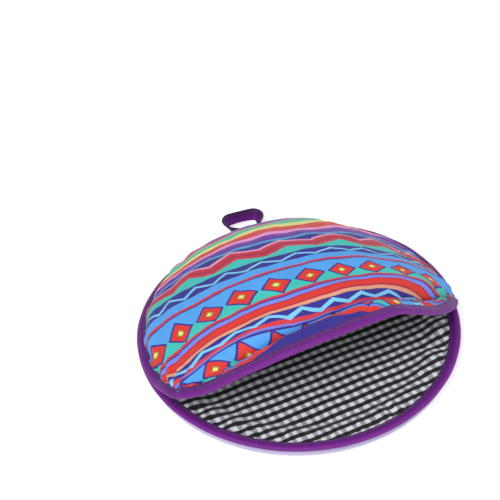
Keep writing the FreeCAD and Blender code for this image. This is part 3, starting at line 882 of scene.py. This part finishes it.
def stitched(name, places, inwards, outwards, widths):
    """A ring of stitches on both sides of a tape."""
    closed = [np.vstack([row, row[:1]]) for row in (places, inwards, outwards)]
    run = run_along(closed[0])
    count = int(run[-1] / STITCH_PITCH)
    starts = np.tile(np.arange(count) * STITCH_PITCH, 2)
    side = np.repeat([1, -1], count)[:, None]
    ends = []
    for at in (starts, starts + STITCH_LENGTH):
        place, inward, outward = [points_at(at, run, row) for row in closed]
        depth = np.interp(at, run, np.append(widths, widths[0])) * (1 - STITCH_INSET / TAPE_WIDTH)
        ends.append(place + inward * depth[:, None] + outward * side * (TAPE_HALF - THREAD_RADIUS))
    bm = bmesh.new()
    bmesh.ops.create_uvsphere(bm, u_segments=6, v_segments=4, radius=1)
    size = len(bm.verts)
    while len(bm.verts) < 2 * count * size:
        bmesh.ops.duplicate(bm, geom=bm.verts[:] + bm.edges[:] + bm.faces[:])
    bmesh.ops.delete(bm, geom=bm.verts[2 * count * size:], context="VERTS")
    ball = np.array([v.co for v in bm.verts])
    k = np.arange(len(ball)) // size
    laid = (ends[0] + ends[1])[k] / 2 + (ends[1] - ends[0])[k] * ball[:, 2:] / 2
    laid += THREAD_RADIUS * (inward[k] * ball[:, :1] + outward[k] * ball[:, 1:2])
    return finished(name, bm, laid)


def thread_material():
    """Twisted polyester thread: a satin purple, drawn with a twist as coarse as it needs to show."""
    material = bpy.data.materials.new("polyester_thread")
    material.use_nodes = True
    tree = material.node_tree
    shader = tree.nodes["Principled BSDF"]
    shader.inputs["Roughness"].default_value = 0.42
    shader.inputs["Sheen Weight"].default_value = 0.1
    spot = add(tree, "ShaderNodeTexCoord").outputs["Object"]
    twist = add(tree, "ShaderNodeTexWave", {"Vector": spot, "Scale": math.tau / (10 * TWIST_PITCH * MM),
                                              "Distortion": 1.0}, bands_direction="DIAGONAL")
    mixed = add(tree, "ShaderNodeMix", {0: twist.outputs["Fac"], 6: colour("#6a2a8c"),
                                        7: colour("#8a48ac")}, data_type="RGBA")
    tree.links.new(mixed.outputs[2], shader.inputs["Base Color"])
    return material


thread = thread_material()
lower_stitches = stitched("lower_topstitching", lower_places, lower_inward, lower_outward, lower_widths)
lower_stitches.data.materials.append(thread)
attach(lower_stitches, "root")
upper_stitches = stitched("upper_topstitching", upper_places, upper_inward, upper_outward, upper_widths)
upper_stitches.data.materials.append(thread)
bends(upper_stitches)


# Hanging loop: a length of the same tape, folded to half its width and sewn along its edge.
# Both ends are caught between the two bindings at the back, and it stands on its edge.
LOOP_ANGLE = math.radians(173)
LOOP_WIDTH = 38.0
LOOP_REACH = 25.0
LOOP_BEND = 8.0
LOOP_TAPE = 12.4
LOOP_THICK = 1.6
LOOP_ROOT = 12.0
LOOP_LIFT = 1.4
LOOP_LEAN = 0.3
LOOP_SIDE_LEAN = 0.4
LOOP_STEP = 1.4
root_low, root_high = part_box("loop_roots")
loop_share = float(back_share(LOOP_ANGLE))
loop_base = PANEL_RADIUS - BACK_PULL * loop_share + 1.7
loop_height = (root_low.z + root_high.z) / 2 / MM


def loop_path():
    """Points of the loop in plan, x across and y outwards, from one sewn end to the other."""
    bend = LOOP_BEND - LOOP_THICK / 2
    centre = Vector((LOOP_WIDTH / 2 - LOOP_BEND, LOOP_REACH - LOOP_BEND))
    points = [Vector((LOOP_ROOT / 2 - 1.5, -3.0)), Vector((LOOP_ROOT / 2, 0.0))]
    points.append(Vector((LOOP_ROOT / 2 + 5, 4.6)))
    for degrees in (-20, 10, 40, 70, 90):
        angle = math.radians(degrees)
        points.append(centre + Vector((math.cos(angle), math.sin(angle))) * bend)
    right = [(p.x, p.y) for p in points]
    left = [(-x, y) for x, y in right[::-1]]
    return line_through(right + left, 90)


def loop_mesh():
    """The tape swept along its path on edge, leaning out most where it bends."""
    path = loop_path()
    ahead = np.gradient(path, axis=0)
    ahead /= np.linalg.norm(ahead, axis=1)[:, None]
    section = []
    half, thin = LOOP_TAPE / 2, LOOP_THICK / 2
    for b, a in ((-1.0, 0.0), (-0.97, 0.7), (-0.86, 1.0), (-0.6, 1.15), (-0.42, 0.75), (-0.24, 1.15),
                 (0.3, 1.1), (0.8, 1.05), (0.96, 0.7)):
        section.append((a * thin, b * half))
    section.append((0.0, half))
    section += [(-a, b) for a, b in section[8:0:-1]]
    bm = bmesh.new()
    rings = []
    for k, (spot, way) in enumerate(zip(path, ahead)):
        share = k / (len(path) - 1)
        lean = LOOP_LEAN * math.sin(math.pi * share) + LOOP_SIDE_LEAN * math.sin(math.tau * share) ** 2
        lift = LOOP_LIFT * math.sin(math.pi * share)
        ring = []
        for a, b in section:
            out = a * math.cos(lean) + b * math.sin(lean)
            up = b * math.cos(lean) - a * math.sin(lean)
            ring.append(bm.verts.new((spot[0] + way[1] * out, spot[1] - way[0] * out, up + lift)))
        rings.append([bm.edges.new(pair) for pair in zip(ring, ring[1:] + ring[:1])])
    for first, second in zip(rings, rings[1:]):
        bmesh.ops.bridge_loops(bm, edges=first + second)
    bmesh.ops.holes_fill(bm, edges=bm.edges[:], sides=0)
    bmesh.ops.recalc_face_normals(bm, faces=bm.faces)
    spots = np.array([v.co for v in bm.verts])
    turn = LOOP_ANGLE - math.pi
    x = spots[:, 0] * math.cos(turn) - spots[:, 1] * math.sin(turn) + math.sin(LOOP_ANGLE) * loop_base
    y = spots[:, 0] * math.sin(turn) + spots[:, 1] * math.cos(turn) - math.cos(LOOP_ANGLE) * loop_base
    order = np.arange(len(spots)) // len(section)
    return finished("hanging_loop_tape", bm, np.stack([x, y, spots[:, 2] + loop_height], axis=1),
                    cloth_mm=np.stack([order * LOOP_STEP, spots[:, 2] + 5], axis=1))


hanging_loop = loop_mesh()
# The loop takes the tape's colour across its height, so the tape's bands of painted shade and painted
# highlight lie on it too.
hanging_loop.data.materials.append(bias_tape)
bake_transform(hanging_loop)
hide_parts("hanging_loop", "loop_roots")


# Studio: a pale floor, one large soft lamp over the left shoulder and one to fill.
# The camera stands where the photograph was taken from.
bm = bmesh.new()
bmesh.ops.create_grid(bm, x_segments=1, y_segments=1, size=3.0)
floor_mesh = bpy.data.meshes.new("floor")
bm.to_mesh(floor_mesh)
bm.free()
floor = bpy.data.objects.new("floor", floor_mesh)
floor.location.z = -0.0004
bpy.context.scene.collection.objects.link(floor)
# Matt paper: white without gloss, so that only the soft shadow shows on it.
paper = bpy.data.materials.new("matt_paper")
paper.use_nodes = True
paper_shader = paper.node_tree.nodes["Principled BSDF"]
paper_shader.inputs["Base Color"].default_value = colour("#f4f4f4")
paper_shader.inputs["Roughness"].default_value = 0.9
paper_shader.inputs["Specular IOR Level"].default_value = 0.1
paper_tree = paper.node_tree
paper_seen = add(paper_tree, "ShaderNodeLightPath").outputs["Is Camera Ray"]
paper_glow = add(paper_tree, "ShaderNodeMath", {0: paper_seen, 1: 0.42}, operation="MULTIPLY")
paper_shader.inputs["Emission Color"].default_value = (1, 1, 1, 1)
paper_tree.links.new(paper_glow.outputs[0], paper_shader.inputs["Emission Strength"])
floor.data.materials.append(paper)

world = bpy.data.worlds.new("studio")
bpy.context.scene.world = world
world.use_nodes = True
sky = world.node_tree
back = sky.nodes["Background"]
back.inputs["Color"].default_value = (1, 1, 1, 1)
path_kind = add(sky, "ShaderNodeLightPath")
seen = add(sky, "ShaderNodeMath", {0: path_kind.outputs["Is Camera Ray"],
                                   1: path_kind.outputs["Is Glossy Ray"]}, operation="MAXIMUM")
strength = add(sky, "ShaderNodeMapRange", {"Value": seen.outputs[0], "To Min": 0.5, "To Max": 1.0})
sky.links.new(strength.outputs["Result"], back.inputs["Strength"])


def lamp(name, azimuth, height, distance, size, power):
    """A square soft lamp that looks at the object."""
    light = bpy.data.lights.new(name, "AREA")
    light.size = size
    light.energy = power
    piece = bpy.data.objects.new(name, light)
    a, e = math.radians(azimuth), math.radians(height)
    way = Vector((math.sin(a) * math.cos(e), -math.cos(a) * math.cos(e), math.sin(e)))
    piece.location = way * distance
    piece.rotation_euler = way.to_track_quat("Z", "Y").to_euler()
    bpy.context.scene.collection.objects.link(piece)


lamp("key", azimuth=-50, height=50, distance=1.6, size=0.6, power=12.5)
lamp("fill", azimuth=60, height=40, distance=1.8, size=1.2, power=5)

VIEW_AZIMUTH = math.radians(-27.03)
VIEW_HEIGHT = math.radians(45.85)
VIEW_DISTANCE = 1.1
VIEW_ROLL = math.radians(-0.51)
lens = bpy.data.cameras.new("camera")
lens.lens = 83.88
lens.sensor_width = 36
lens.shift_x = -0.0946
lens.shift_y = 0.1668
camera = bpy.data.objects.new("camera", lens)
view_way = Vector((math.sin(VIEW_AZIMUTH) * math.cos(VIEW_HEIGHT),
                   -math.cos(VIEW_AZIMUTH) * math.cos(VIEW_HEIGHT), math.sin(VIEW_HEIGHT)))
camera.location = view_way * VIEW_DISTANCE
facing = view_way.to_track_quat("Z", "Y").to_matrix()
camera.rotation_euler = (facing @ Matrix.Rotation(VIEW_ROLL, 3, "Z")).to_euler()
bpy.context.scene.collection.objects.link(camera)
bpy.context.scene.camera = camera
bpy.context.scene.view_settings.view_transform = "Standard"
